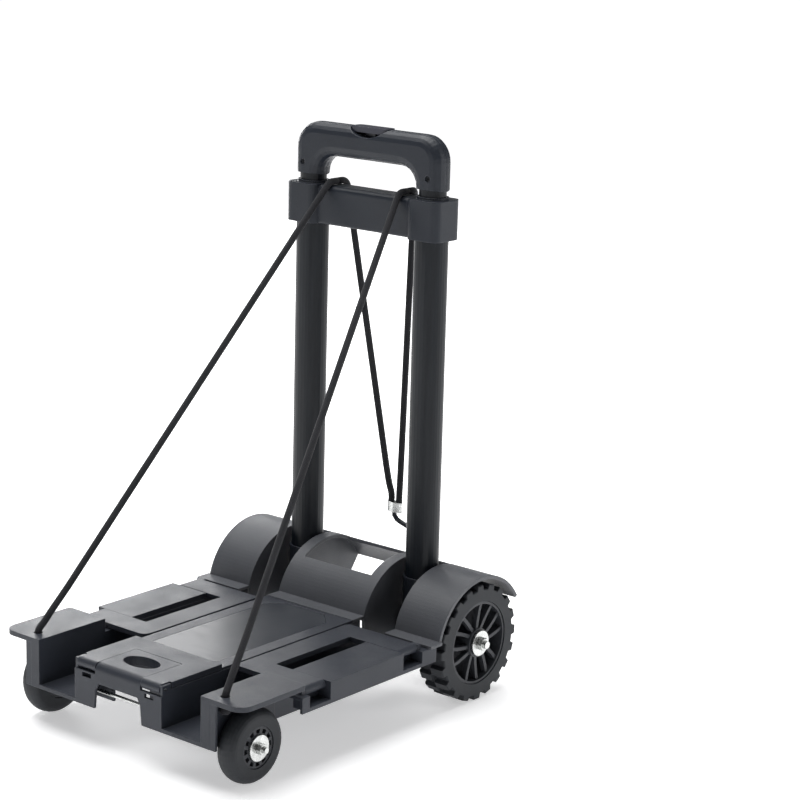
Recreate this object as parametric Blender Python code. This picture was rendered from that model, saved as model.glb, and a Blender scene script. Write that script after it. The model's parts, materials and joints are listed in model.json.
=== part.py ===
"""Folding luggage cart: a wheeled deck, a tube mast that folds forward onto it, and an elastic cord.

Metres, +Z up, +X to the cart's right, -Y to the front. The origin is on the floor, in the middle of the
cart's footprint. Each piece is one named object. Pieces that move have their origin on their joint's axis.
"""
import math

import bmesh
import bpy
from mathutils import Matrix, Vector

MM = 0.001
GAP = 0.3 * MM              # between pieces that touch or nest
PIN_R = 1.5 * MM            # hinge pins
PIN_BORE_R = PIN_R + GAP

# Rear wheels and axle
WHEEL_R = 62.5 * MM
WHEEL_WIDTH = 34 * MM
WHEEL_FACE_X = 160 * MM     # outer face of a rear wheel
TREAD_DEPTH = 5 * MM
TREAD_LUGS = 20
RIM_R = 44 * MM
RIM_HOLE_R = 41.5 * MM      # spoked opening
HUB_R = 15.5 * MM
AXLE_R = 4 * MM
AXLE_BORE_R = AXLE_R + GAP

# Drum housing over the rear wheels
DRUM_GAP = 6 * MM           # tread to housing
DRUM_WALL = 3.5 * MM
DRUM_HALF = 162 * MM
DRUM_REAR_DEG = 58          # the housing ends this far behind the vertical
SLOT_REAR_DEG = 28          # slots and window end this far behind the vertical
WINDOW_FRONT_DEG = 36
FLANGE_RISE = 17 * MM       # axle to the housing's front edge, upwards
WINDOW_HALF = 47 * MM
FLANGE_LIP = 12 * MM
FLANGE_THICK = 3 * MM

# Mast
TUBE_X = 81 * MM            # centre of each tube
TUBE_A = 18 * MM            # oval half width
TUBE_B = 15 * MM            # oval half depth
TUBE_WALL = 1.5 * MM
INNER_A = 14.6 * MM
INNER_B = 12 * MM
INNER_WALL = 1.3 * MM
FOOT_WALL = 2.2 * MM
FOOT_TOP = WHEEL_R + 55.5 * MM
SLOT_IN = TUBE_X - 21 * MM  # the tube slot through deck and drum
SLOT_OUT = TUBE_X + 22 * MM
YOKE_LOW = 478 * MM
YOKE_HIGH = 519.5 * MM
YOKE_HALF = TUBE_X + 22 * MM
YOKE_IN = TUBE_X - 20 * MM  # inner edge of the collars
YOKE_DEPTH = 20.5 * MM      # half depth of the collars
YOKE_CAP = 6 * MM
NECK = 2.5 * MM             # ring on top of each collar
BAR_HALF_DEPTH = 14 * MM
BAR_ROUND = 6 * MM

# Handle
GRIP_TOP = 584 * MM
GRIP_UNDER = 549.5 * MM
GRIP_LEG_LOW = 528 * MM
GRIP_LEG_A = 16.5 * MM
GRIP_DEPTH = 14 * MM
GRIP_ROUND = 11 * MM        # rounding of the edges
BUTTON_HALF = 24.5 * MM
BUTTON_DEPTH = 8.5 * MM    # half depth
BUTTON_THICK = 6 * MM
BUTTON_TRAVEL = 3.5 * MM
SMILE_DEPTH = 10 * MM

# Deck
FRONT_REACH = 364 * MM      # axle to the deck's front edge
DECK_REAR = WHEEL_R + 11.5 * MM  # axle to the deck's rear edge
WALL = 3 * MM
SPINE_HALF = SLOT_IN
SPINE_TOP = WHEEL_R + 19 * MM
CHANNEL_OUT = SLOT_OUT + 9 * MM
SHELF_TOP = WHEEL_R + 15.5 * MM
SHELF_HALF = 162 * MM
SKIRT_LOW = WHEEL_R - 0.5 * MM
PAD_TOP = WHEEL_R + 21.7 * MM
PANEL_HALF = 44 * MM
PANEL_THICK = 2.3 * MM
PANEL_FRONT = 275 * MM
PANEL_REAR = DECK_REAR + 18 * MM
BORDER_HALF = SPINE_HALF - 0.5 * MM     # raised border round the panel
BORDER_FRONT = 280 * MM
CORNER_REAR = 274 * MM
CORNER_TOP = WHEEL_R + 29.5 * MM
CORNER_THICK = 5 * MM
CORNER_HALF = 165 * MM
BLOCK_OUT = CHANNEL_OUT + 11.5 * MM
FRONT_WALL_OUT = 131 * MM
APRON_LOW = WHEEL_R - 21.5 * MM

# Side flaps
FLAP_IN = SPINE_HALF + 2.7 * MM
FLAP_SPINE = 28 * MM
FLAP_FRONT = 266 * MM
FLAP_REAR = DECK_REAR + 23 * MM
FLAP_ARM = 29 * MM
ARM_FLOOR = WHEEL_R + 3.5 * MM         # floor of the recess under an arm's end
FLAP_THICK = 5.2 * MM
FLAP_TOP = WHEEL_R + 21.9 * MM
FLAP_AXIS_X = 151 * MM
KNUCKLE_R = 4.6 * MM

# Front lid
LID_HALF = SPINE_HALF - 0.4 * MM
LID_KNUCKLE_HALF = SPINE_HALF - 3.5 * MM
LID_REAR = 281 * MM
LID_AXIS = 358.5 * MM         # axle to the lid's hinge
LID_THICK = 6 * MM
TONGUE_HALF = 31 * MM
TONGUE_REAR = 308 * MM
FINGER_A = 22 * MM
FINGER_B = 13.5 * MM
FINGER_REACH = 331 * MM
CATCH_ROD_R = 2 * MM
CATCH_ROD_Z = WHEEL_R - 8.5 * MM

# Front wheels
CASTER_R = 37.5 * MM
CASTER_WIDTH = 23.3 * MM
CASTER_REACH = 322 * MM
CASTER_HUB_R = 20.5 * MM
BOLT_R = 3 * MM
LEG_THICK = 4.6 * MM
HUB_NOTCHES = 12
WASHER_THICK = 2 * MM
NUT_THICK = 5 * MM

# Cord
CORD_R = 3.5 * MM
CORD_HOLE_X = BLOCK_OUT + 6 * MM
CORD_HOLE_REACH = 349 * MM
CORD_YOKE_X = TUBE_X - 33 * MM
CORD_REAR_X = 42 * MM       # where the right strand leaves the yoke
FERRULE = Vector((20.5, 26.6, 118.5)) * MM + Vector((0, 0, WHEEL_R))   # from the axle line on the floor

# Worked out from the above
AXLE_Z = WHEEL_R
DRUM_IN_R = WHEEL_R + DRUM_GAP
DRUM_R = DRUM_IN_R + DRUM_WALL
FLANGE_DEG = math.degrees(math.acos(FLANGE_RISE / (DRUM_IN_R + DRUM_WALL / 2)))
AXLE_Y = (FRONT_REACH - WHEEL_R) / 2
FRONT_Y = AXLE_Y - FRONT_REACH
FOOT_A = TUBE_A + GAP + FOOT_WALL
FOOT_B = TUBE_B + GAP + FOOT_WALL - 0.5 * MM
FLOOR_TOP = AXLE_Z - FOOT_B - 1.5 * MM
TUBE_LOW = AXLE_Z + AXLE_R + 10 * MM
LID_LOW = SPINE_TOP + 2 * GAP
LID_TOP = LID_LOW + LID_THICK
LID_AXIS_Y = AXLE_Y - LID_AXIS
LID_AXIS_Z = (LID_LOW + LID_TOP) / 2 - 2.3 * MM
LID_KNUCKLE_R = LID_TOP - LID_AXIS_Z
FLAP_AXIS_Z = FLAP_TOP - KNUCKLE_R
FLAP_FRONT_Y = AXLE_Y - FLAP_FRONT
FLAP_REAR_Y = AXLE_Y - FLAP_REAR
BLOCK_IN = CHANNEL_OUT
CASTER_IN = BLOCK_OUT + 2.5 * GAP
CASTER_OUT = CASTER_IN + CASTER_WIDTH
CASTER_Y = AXLE_Y - CASTER_REACH
AXLE = Vector((0, AXLE_Y, AXLE_Z))
HANDLE_ORIGIN = Vector((0, AXLE_Y, YOKE_HIGH))

COLOURS = {
    "deck_plastic": ((0.075, 0.078, 0.085), 0.55, 0.0),
    "panel_gloss": ((0.060, 0.063, 0.070), 0.25, 0.0),
    "tube_metal": ((0.045, 0.050, 0.058), 0.40, 0.6),
    "handle_plastic": ((0.060, 0.064, 0.072), 0.45, 0.0),
    "button_plastic": ((0.030, 0.032, 0.045), 0.25, 0.0),
    "rim_plastic": ((0.050, 0.053, 0.058), 0.50, 0.0),
    "tyre_rubber": ((0.040, 0.042, 0.046), 0.75, 0.0),
    "zinc": ((0.75, 0.75, 0.73), 0.30, 1.0),
    "cord_fabric": ((0.035, 0.035, 0.038), 0.85, 0.0),
}


def material(slot):
    found = bpy.data.materials.get(slot)
    if found:
        return found
    colour, roughness, metallic = COLOURS[slot]
    made = bpy.data.materials.new(slot)
    made.use_nodes = True
    shader = made.node_tree.nodes["Principled BSDF"]
    shader.inputs["Base Color"].default_value = (*colour, 1)
    shader.inputs["Roughness"].default_value = roughness
    shader.inputs["Metallic"].default_value = metallic
    return made


def add(name, bm, slot=None, origin=None, smooth=None):
    """An object of bm. With no slot it is a helper: a cutter, or a shape that is joined to another."""
    bmesh.ops.recalc_face_normals(bm, faces=bm.faces)
    mesh = bpy.data.meshes.new(name)
    bm.to_mesh(mesh)
    bm.free()
    obj = bpy.data.objects.new(name, mesh)
    bpy.context.scene.collection.objects.link(obj)
    if slot:
        mesh.materials.append(material(slot))
    else:
        obj.hide_render = True
        obj.display_type = "WIRE"
    if smooth:
        mesh.shade_smooth()
        mesh.set_sharp_from_angle(angle=math.radians(smooth))
    if origin is not None:
        mesh.transform(Matrix.Translation(-Vector(origin)))
        obj.location = origin
    return obj


def spot(axis, u, v, along):
    """A point from its two coordinates in the plane across axis, and its place along axis."""
    return {"X": (along, u, v), "Y": (u, along, v), "Z": (u, v, along)}[axis]


def loft(name, sections, slot=None, **options):
    """A closed solid through sections, each a loop with the same number of points."""
    bm = bmesh.new()
    loops = [[bm.verts.new(point) for point in section] for section in sections]
    count = len(loops[0])
    for low, high in zip(loops, loops[1:]):
        for i in range(count):
            j = (i + 1) % count
            bm.faces.new((low[i], low[j], high[j], high[i]))
    bm.faces.new(loops[0])
    bm.faces.new(loops[-1])
    return add(name, bm, slot, **options)


def prism(name, axis, outline, low, high, slot=None, **options):
    sections = [[spot(axis, u, v, along) for u, v in outline] for along in (low, high)]
    return loft(name, sections, slot, **options)


def block(name, x, y, z, slot=None, **options):
    outline = [(x[0], y[0]), (x[1], y[0]), (x[1], y[1]), (x[0], y[1])]
    return prism(name, "Z", outline, z[0], z[1], slot, **options)


def ellipse(a, b, centre=(0, 0), count=32, power=2.0, turn=0.0):
    points = []
    for i in range(count):
        angle = turn + 2 * math.pi * i / count
        c, s = math.cos(angle), math.sin(angle)
        u = math.copysign(abs(c) ** (2 / power), c) * a
        v = math.copysign(abs(s) ** (2 / power), s) * b
        points.append((centre[0] + u, centre[1] + v))
    return points


def arc(centre, radius, start, end, count):
    """Points on a circle, from start to end degrees."""
    points = []
    for i in range(count + 1):
        angle = math.radians(start + (end - start) * i / count)
        points.append((centre[0] + radius * math.cos(angle), centre[1] + radius * math.sin(angle)))
    return points


def rounded(low, high, radii, count=5):
    """A rectangle's outline with a radius for each corner, from the low corner anticlockwise."""
    (u0, v0), (u1, v1) = low, high
    corners = [(u0, v0, 180), (u1, v0, 270), (u1, v1, 0), (u0, v1, 90)]
    points = []
    for (u, v, start), radius in zip(corners, radii):
        if radius == 0:
            points.append((u, v))
            continue
        centre = (u + math.copysign(radius, (u0 + u1) / 2 - u), v + math.copysign(radius, (v0 + v1) / 2 - v))
        points += arc(centre, radius, start, start + 90, count)
    return points


def rod(name, axis, centre, radius, low, high, slot=None, count=24, **options):
    return prism(name, axis, ellipse(radius, radius, centre, count), low, high, slot, **options)


def turned(name, profile, side, centre, slot=None, count=48, **options):
    """A ring about a line along X through centre (y, z). profile is a closed loop of (distance out, radius)."""
    bm = bmesh.new()
    rings = []
    for i in range(count):
        angle = 2 * math.pi * i / count - math.pi / 2
        c, s = math.cos(angle), math.sin(angle)
        points = [(side * x, centre[0] + r * c, centre[1] + r * s) for x, r in profile]
        rings.append([bm.verts.new(point) for point in points])
    size = len(profile)
    for i in range(count):
        here, after = rings[i], rings[(i + 1) % count]
        for j in range(size):
            k = (j + 1) % size
            bm.faces.new((here[j], here[k], after[k], after[j]))
    return add(name, bm, slot, **options)


def combine(target, other, operation):
    other.hide_render = True
    modifier = target.modifiers.new(f"{operation.lower()} {other.name}"[:60], "BOOLEAN")
    modifier.operation = operation
    modifier.object = other
    modifier.solver = "EXACT"
    other.parent = None
    return target


def cut(target, *cutters):
    for cutter in cutters:
        combine(target, cutter, "DIFFERENCE")
    return target


def join(target, *others):
    for other in others:
        combine(target, other, "UNION")
    return target


def both(make):
    """Calls make for the left (-1) and the right (+1) side."""
    return [make(side, name) for side, name in ((-1, "left"), (1, "right"))]


def span(side, near, far):
    """An interval of X from distances out from the middle, low end first."""
    return (side * near, side * far) if side > 0 else (side * far, side * near)


# ---------------------------------------------------------------- deck

def deck_hat():
    """The deck's walls from the spine to the channels' outer walls, as one bent section."""
    inner = SPINE_HALF - WALL
    half = [
        (SPINE_HALF, SPINE_TOP), (SPINE_HALF, FLOOR_TOP), (CHANNEL_OUT, FLOOR_TOP),
        (CHANNEL_OUT, SHELF_TOP), (CHANNEL_OUT + WALL, SHELF_TOP), (CHANNEL_OUT + WALL, APRON_LOW),
        (inner, APRON_LOW), (inner, SPINE_TOP - WALL),
    ]
    outline = half + [(-x, z) for x, z in reversed(half)]
    return prism("deck_frame", "Y", outline, FRONT_Y + WALL / 2, AXLE_Y - DECK_REAR, "deck_plastic")


def deck_shelf(side, name):
    """Shelf and skirt outside a channel."""
    inner = CHANNEL_OUT + WALL / 2
    outline = [
        (inner, SHELF_TOP), (SHELF_HALF, SHELF_TOP), (SHELF_HALF, SKIRT_LOW), (SHELF_HALF - WALL, SKIRT_LOW),
        (SHELF_HALF - WALL, SHELF_TOP - WALL), (inner, SHELF_TOP - WALL),
    ]
    outline = [(side * x, z) for x, z in outline]
    shelf = prism(f"shelf_{name}", "Y", outline, AXLE_Y - CORNER_REAR - WALL, AXLE_Y - DECK_REAR)
    pad_y = (FLAP_FRONT_Y + FLAP_ARM + 2 * GAP, FLAP_REAR_Y - FLAP_ARM - 2 * GAP)
    pad = block(f"pad_{name}", span(side, CHANNEL_OUT + 0.5 * MM, SHELF_HALF), pad_y, (SKIRT_LOW, PAD_TOP))
    hollow_x = span(side, CHANNEL_OUT + 2 * WALL, SHELF_HALF - WALL)
    hollow_y = (pad_y[0] + 2 * WALL, pad_y[1] - 2 * WALL)
    hollow = block(f"pad_hollow_{name}", hollow_x, hollow_y, (SKIRT_LOW - WALL, PAD_TOP - WALL))
    return shelf, pad, hollow


def flap_ears(side, name):
    """The ears at the free end of each flap hinge, and the notches that its knuckles turn in."""
    ears, notches, boxes = [], [], []
    arms = ((FLAP_FRONT_Y, FLAP_FRONT_Y + FLAP_ARM, -1), (FLAP_REAR_Y - FLAP_ARM, FLAP_REAR_Y, 1))
    for low, high, outward in arms:
        notch_x = span(side, FLAP_AXIS_X - KNUCKLE_R - 2 * GAP, SHELF_HALF + WALL)
        notch_z = (ARM_FLOOR, CORNER_TOP)
        tag = f"{name}_{'front' if outward < 0 else 'rear'}"
        box_x = span(side, FLAP_AXIS_X - KNUCKLE_R - WALL, SHELF_HALF - 0.1 * MM)
        box_y = (low - 2 * GAP - WALL, high + 2 * GAP + WALL)
        boxes.append(block(f"arm_box_{tag}", box_x, box_y, (SKIRT_LOW + 0.2 * MM, SHELF_TOP - 1 * MM)))
        notches.append(block(f"notch_{tag}", notch_x, (low - 2 * GAP, high + 2 * GAP), notch_z))
        end = low - 2 * GAP if outward < 0 else high + 2 * GAP
        ear_y = sorted((end, end + outward * 4.5 * MM))
        ear_x = span(side, FLAP_AXIS_X - KNUCKLE_R, FLAP_AXIS_X + KNUCKLE_R)
        ears.append(block(f"ear_{tag}", ear_x, ear_y, (SHELF_TOP - WALL, PAD_TOP - GAP)))
    return ears, notches, boxes


def flap_pin_bore(side, name):
    """One long cutter for both hinge pins of a flap."""
    centre = (side * FLAP_AXIS_X, FLAP_AXIS_Z)
    front = rod(f"flap_bore_front_{name}", "Y", centre, PIN_BORE_R, FLAP_FRONT_Y - 3.8 * MM,
                FLAP_FRONT_Y + FLAP_ARM + 3.8 * MM, count=16)
    rear = rod(f"flap_bore_rear_{name}", "Y", centre, PIN_BORE_R, FLAP_REAR_Y - FLAP_ARM - 3.8 * MM,
               FLAP_REAR_Y + 3.8 * MM, count=16)
    return front, rear


def corner(side, name):
    """Corner block with its top plate and the leg that carries a front wheel."""
    y = (FRONT_Y, AXLE_Y - CORNER_REAR)
    walls = block(f"corner_block_{name}", span(side, BLOCK_IN, BLOCK_OUT), y, (APRON_LOW, CORNER_TOP - WALL))
    hollow_x = span(side, BLOCK_IN + WALL, BLOCK_OUT - WALL + 0.5 * MM)
    hollow_y = (y[0] + WALL, y[1] - WALL)
    hollow = block(f"corner_hollow_{name}", hollow_x, hollow_y, (APRON_LOW - WALL, CORNER_TOP - CORNER_THICK))
    low, high = span(side, BLOCK_IN, CORNER_HALF)
    radii = (14 * MM, 0, 0, 5 * MM) if side < 0 else (0, 14 * MM, 5 * MM, 0)
    top_outline = rounded((low, y[0]), (high, y[1]), radii, 6)
    top = prism(f"corner_top_{name}", "Z", top_outline, CORNER_TOP - CORNER_THICK, CORNER_TOP)
    front = block(f"corner_front_{name}", span(side, BLOCK_OUT - WALL, FRONT_WALL_OUT),
                  (FRONT_Y + 0.1 * MM, FRONT_Y + WALL - 0.1 * MM), (APRON_LOW + 0.1 * MM, CORNER_TOP - WALL))
    leg_half = 13 * MM
    leg_outline = [(CASTER_Y + leg_half, APRON_LOW + 20 * MM)]
    leg_outline += arc((CASTER_Y, CASTER_R), leg_half, 0, -180, 12)
    leg_outline += [(CASTER_Y - leg_half, APRON_LOW + 20 * MM)]
    leg_x = span(side, BLOCK_OUT - LEG_THICK, BLOCK_OUT)
    leg = prism(f"wheel_leg_{name}", "X", leg_outline, leg_x[0], leg_x[1])
    bore_x = span(side, BLOCK_IN + WALL, BLOCK_OUT + WALL)
    bore = rod(f"leg_bore_{name}", "X", (CASTER_Y, CASTER_R), BOLT_R + GAP, bore_x[0], bore_x[1])
    hole = rod(f"cord_hole_{name}", "Z", (side * CORD_HOLE_X, AXLE_Y - CORD_HOLE_REACH), CORD_R + 1.2 * MM,
               CORNER_TOP - 2 * CORNER_THICK, CORNER_TOP + WALL, count=20)
    return (walls, front, top, leg), (hollow, bore, hole)


def apron():
    """The deck's front wall with its opening, and the tongue that the lid closes round."""
    low = APRON_LOW
    lip = FLOOR_TOP + 1 * MM
    shoulder = LID_AXIS_Z - LID_KNUCKLE_R - 1 * MM
    half = [
        (0, LID_TOP - 9 * MM), (SPINE_HALF, shoulder), (SPINE_HALF, lip), (BLOCK_IN + WALL / 2, lip),
        (BLOCK_IN + WALL / 2, low), (33 * MM, low), (31 * MM, WHEEL_R - 1.5 * MM),
        (27 * MM, WHEEL_R + 5.5 * MM),
    ]
    outline = half + [(-x, z) for x, z in reversed(half[1:])]
    wall = prism("apron", "Y", outline, FRONT_Y, FRONT_Y + WALL)
    tongue_outline = [(TONGUE_REAR, SPINE_TOP - WALL / 2), (TONGUE_REAR, LID_TOP)]
    nose = (FRONT_REACH - 8 * MM, LID_TOP - 8 * MM)
    tongue_outline += [(u, v) for u, v in arc(nose, 8 * MM, 90, 0, 6)]
    tongue_low = WHEEL_R + 5.2 * MM
    tongue_outline += [(FRONT_REACH, tongue_low), (FRONT_REACH - WALL, tongue_low)]
    tongue_outline += [(FRONT_REACH - WALL, SPINE_TOP - WALL / 2)]
    tongue_outline = [(AXLE_Y - u, v) for u, v in tongue_outline]
    tongue = prism("tongue", "X", tongue_outline, -TONGUE_HALF, TONGUE_HALF)
    return wall, tongue


def lid_seats(side, name):
    """Room for a lid knuckle, the ear outside it, and the small slot in the front wall below it."""
    y = (FRONT_Y - WALL, LID_AXIS_Y + LID_KNUCKLE_R + 1 * MM)
    z = (LID_AXIS_Z - LID_KNUCKLE_R - 0.8 * MM, CORNER_TOP)
    room = block(f"lid_room_{name}", span(side, TONGUE_HALF + GAP, SPINE_HALF + 1 * MM), y, z)
    ear_y = (LID_AXIS_Y - LID_KNUCKLE_R + 1.2 * MM, y[1] + 1 * MM)
    ear_x = span(side, LID_KNUCKLE_HALF + GAP, SPINE_HALF)
    ear = block(f"lid_ear_{name}", ear_x, ear_y, (z[0] - WALL, LID_TOP - 1 * MM))
    slot_z = (z[0] - 6.2 * MM, z[0] - 1.7 * MM)
    slot_x = span(side, TONGUE_HALF + 6 * MM, TONGUE_HALF + 18.5 * MM)
    slot = block(f"lid_slot_{name}", slot_x, (FRONT_Y - WALL, FRONT_Y + 2 * WALL), slot_z)
    bore_x = span(side, TONGUE_HALF - 4 * MM, SPINE_HALF + WALL)
    bore = rod(f"lid_bore_{name}", "X", (LID_AXIS_Y, LID_AXIS_Z), PIN_BORE_R, bore_x[0], bore_x[1], count=16)
    return room, ear, slot, bore


def deck_frame():
    frame = deck_hat()
    wall, tongue = apron()
    join(frame, wall)
    rooms = both(lid_seats)
    cut(frame, *[room for room, _, _, _ in rooms])
    join(frame, tongue)
    for _, ear, slot, _ in rooms:
        join(frame, ear)
        cut(frame, slot)
    for shelf, pad, hollow in both(deck_shelf):
        join(frame, shelf, pad)
        cut(frame, hollow)
    for ears, notches, boxes in both(flap_ears):
        join(frame, *boxes)
        cut(frame, *notches)
        join(frame, *ears)
    for added, removed in both(corner):
        join(frame, *added)
        cut(frame, *removed)
    for front, rear in both(flap_pin_bore):
        cut(frame, front, rear)
    cut(frame, *[bore for _, _, _, bore in rooms])
    border_y = (AXLE_Y - BORDER_FRONT, AXLE_Y - DECK_REAR - FLANGE_LIP - GAP)
    border = block("panel_border", (-BORDER_HALF, BORDER_HALF), border_y, (SPINE_TOP - WALL / 2, PAD_TOP))
    join(frame, border)
    pocket = prism("panel_pocket", "Z", panel_outline(GAP), SPINE_TOP + 0.1 * MM, CORNER_TOP)
    cut(frame, pocket)
    for side in (-1, 1):
        x = span(side, SLOT_IN + GAP, SLOT_OUT - GAP)
        join(frame, block(f"channel_rear_{side}", x, (AXLE_Y - DECK_REAR - 6 * MM, AXLE_Y - 36 * MM),
                          (APRON_LOW + 0.2 * MM, FLOOR_TOP - 0.2 * MM)))
    for side in (-1, 1):
        x = span(side, TONGUE_HALF - 6 * MM, SPINE_HALF - WALL / 2)
        join(frame, block(f"front_rib_{side}", x, (FRONT_Y + 19 * MM, FRONT_Y + 21.5 * MM),
                          (APRON_LOW + 4 * MM, SPINE_TOP - WALL / 2)))
    finger = prism("finger_hole", "Z", ellipse(FINGER_A, FINGER_B, (0, AXLE_Y - FINGER_REACH), 28),
                   SPINE_TOP - 2 * WALL, CORNER_TOP)
    cut(frame, finger)
    seat = rod("catch_rod_seat", "X", (FRONT_Y + 14 * MM, CATCH_ROD_Z), CATCH_ROD_R + GAP,
               -SPINE_HALF + WALL / 2, SPINE_HALF - WALL / 2, count=16)
    cut(frame, seat)
    return frame


def panel_outline(grown=0.0):
    half, front, rear = PANEL_HALF + grown, AXLE_Y - PANEL_FRONT - grown, AXLE_Y - PANEL_REAR + grown
    taper = 18 * MM
    outline = [(-half, front), (half, front), (half, rear - taper), (half - taper, rear)]
    return outline + [(-half + taper, rear), (-half, rear - taper)]


def deck_panel():
    return prism("deck_panel", "Z", panel_outline(), PAD_TOP - PANEL_THICK, PAD_TOP, "panel_gloss")


def catch_rod():
    ends = SPINE_HALF - WALL / 2 - GAP
    return rod("catch_rod", "X", (FRONT_Y + 14 * MM, CATCH_ROD_Z), CATCH_ROD_R, -ends, ends, "zinc", 16, smooth=40)


# ---------------------------------------------------------------- flaps and lid

def side_flap(side, name):
    """A C-shaped flap that lies over the tube channel and swings out on two knuckles."""
    inner, tip = FLAP_IN, FLAP_AXIS_X
    y0, y1 = FLAP_FRONT_Y, FLAP_REAR_Y
    corner_r = 9 * MM
    half = [(tip, y0)] + [(x, y) for x, y in arc((inner + corner_r, y0 + corner_r), corner_r, 270, 180, 6)]
    half += [(inner, y1 - 4 * MM), (inner + 4 * MM, y1), (tip, y1), (tip, y1 - FLAP_ARM)]
    half += [(inner + FLAP_SPINE, y1 - FLAP_ARM), (inner + FLAP_SPINE, y0 + FLAP_ARM), (tip, y0 + FLAP_ARM)]
    outline = [(side * x, y) for x, y in half]
    origin = (side * FLAP_AXIS_X, AXLE_Y - (FLAP_FRONT + FLAP_REAR) / 2, FLAP_AXIS_Z)
    flap = prism(f"side_flap_{name}", "Z", outline, FLAP_TOP - FLAP_THICK, FLAP_TOP, "deck_plastic", origin=origin)
    centre = (side * FLAP_AXIS_X, FLAP_AXIS_Z)
    for tag, low in (("front", y0), ("rear", y1 - FLAP_ARM)):
        join(flap, rod(f"knuckle_{tag}_{name}", "Y", centre, KNUCKLE_R, low, low + FLAP_ARM, count=20))
    cut(flap, rod(f"flap_pin_hole_{name}", "Y", centre, PIN_BORE_R, y0 - WALL, y1 + WALL, count=16))
    return flap


def flap_pins(side, name):
    centre = (side * FLAP_AXIS_X, FLAP_AXIS_Z)
    for tag, low in (("front", FLAP_FRONT_Y), ("rear", FLAP_REAR_Y - FLAP_ARM)):
        rod(f"flap_pin_{tag}_{name}", "Y", centre, PIN_R, low - 3.5 * MM, low + FLAP_ARM + 3.5 * MM, "zinc", 12,
            smooth=40)


def front_lid():
    """A U-shaped lid round the tongue, hinged at the deck's front edge."""
    slot = TONGUE_HALF + 2 * GAP
    axis_y, rear = LID_AXIS_Y, AXLE_Y - LID_REAR
    slot_rear = AXLE_Y - TONGUE_REAR + 2 * GAP
    narrow, step = LID_KNUCKLE_HALF, axis_y + 9 * MM
    outline = [
        (narrow, axis_y), (narrow, step), (LID_HALF, step), (LID_HALF, rear), (-LID_HALF, rear), (-LID_HALF, step),
        (-narrow, step), (-narrow, axis_y), (-slot, axis_y), (-slot, slot_rear), (slot, slot_rear), (slot, axis_y),
    ]
    origin = (0, axis_y, LID_AXIS_Z)
    lid = prism("front_lid", "Z", outline, LID_LOW, LID_TOP, "deck_plastic", origin=origin)
    for side, name in ((-1, "left"), (1, "right")):
        x = span(side, slot, LID_KNUCKLE_HALF)
        join(lid, rod(f"lid_knuckle_{name}", "X", (axis_y, LID_AXIS_Z), LID_KNUCKLE_R, x[0], x[1], count=20))
    cut(lid, rod("lid_pin_hole", "X", (axis_y, LID_AXIS_Z), PIN_BORE_R, -SPINE_HALF, SPINE_HALF, count=16))
    return lid


def lid_pins(side, name):
    x = span(side, TONGUE_HALF - 3.5 * MM, SPINE_HALF)
    rod(f"lid_pin_{name}", "X", (LID_AXIS_Y, LID_AXIS_Z), PIN_R, x[0], x[1], "zinc", 12, smooth=40)


# ---------------------------------------------------------------- drum housing

def drum_angle(degrees, radius):
    """(y, z) at an angle from the vertical towards the front, about the axle."""
    angle = math.radians(degrees)
    return AXLE_Y - radius * math.sin(angle), AXLE_Z + radius * math.cos(angle)


def sector(name, front, rear, inner, outer, low, high, slot=None, count=24, **options):
    steps = [front + (rear - front) * i / count for i in range(count + 1)]
    outline = [drum_angle(a, outer) for a in steps] + [drum_angle(a, inner) for a in reversed(steps)]
    return prism(name, "X", outline, low, high, slot, **options)


def web(name, low, high):
    """An upright wall across the drum that holds the axle."""
    steps = [FLANGE_DEG - (FLANGE_DEG + DRUM_REAR_DEG) * i / 24 for i in range(25)]
    outline = [drum_angle(a, DRUM_IN_R + DRUM_WALL / 2) for a in steps]
    outline += [(AXLE_Y + 22 * MM, AXLE_Z - 16 * MM), (AXLE_Y - WHEEL_R - 4 * MM, AXLE_Z - 16 * MM)]
    return prism(name, "X", outline, low, high)


def drum_housing():
    drum = sector("drum_housing", FLANGE_DEG, -DRUM_REAR_DEG, DRUM_IN_R, DRUM_R, -DRUM_HALF, DRUM_HALF, "deck_plastic", 40,
                  smooth=30)
    room = 12 * MM
    for side, name in ((-1, "left"), (1, "right")):
        x = span(side, SLOT_IN, SLOT_OUT)
        cut(drum, sector(f"tube_slot_{name}", FLANGE_DEG + 12, -SLOT_REAR_DEG, DRUM_IN_R - room, DRUM_R + room,
                         x[0], x[1]))
        for tag, at in (("inner", SLOT_IN - WALL), ("outer", SLOT_OUT)):
            x = span(side, at, at + WALL)
            join(drum, web(f"web_{tag}_{name}", x[0], x[1]))
        x = span(side, SLOT_OUT, CORNER_HALF)
        join(drum, flange(f"flange_{name}", x, SHELF_TOP + GAP))
    cut(drum, sector("drum_window", WINDOW_FRONT_DEG, -SLOT_REAR_DEG, DRUM_IN_R - room, DRUM_R + room,
                     -WINDOW_HALF, WINDOW_HALF))
    join(drum, flange("flange_middle", (-SLOT_IN, SLOT_IN), SPINE_TOP + GAP))
    cut(drum, rod("axle_bore", "X", (AXLE_Y, AXLE_Z), AXLE_BORE_R, -SLOT_OUT - 2 * WALL, SLOT_OUT + 2 * WALL))
    return drum


def flange(name, x, low):
    """A strip from the drum's front edge forward over the deck's rear edge."""
    rear = drum_angle(FLANGE_DEG, DRUM_IN_R + DRUM_WALL / 2)[0]
    return block(name, x, (AXLE_Y - DECK_REAR - FLANGE_LIP, rear), (low, low + FLANGE_THICK))


# ---------------------------------------------------------------- rear wheels

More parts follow.
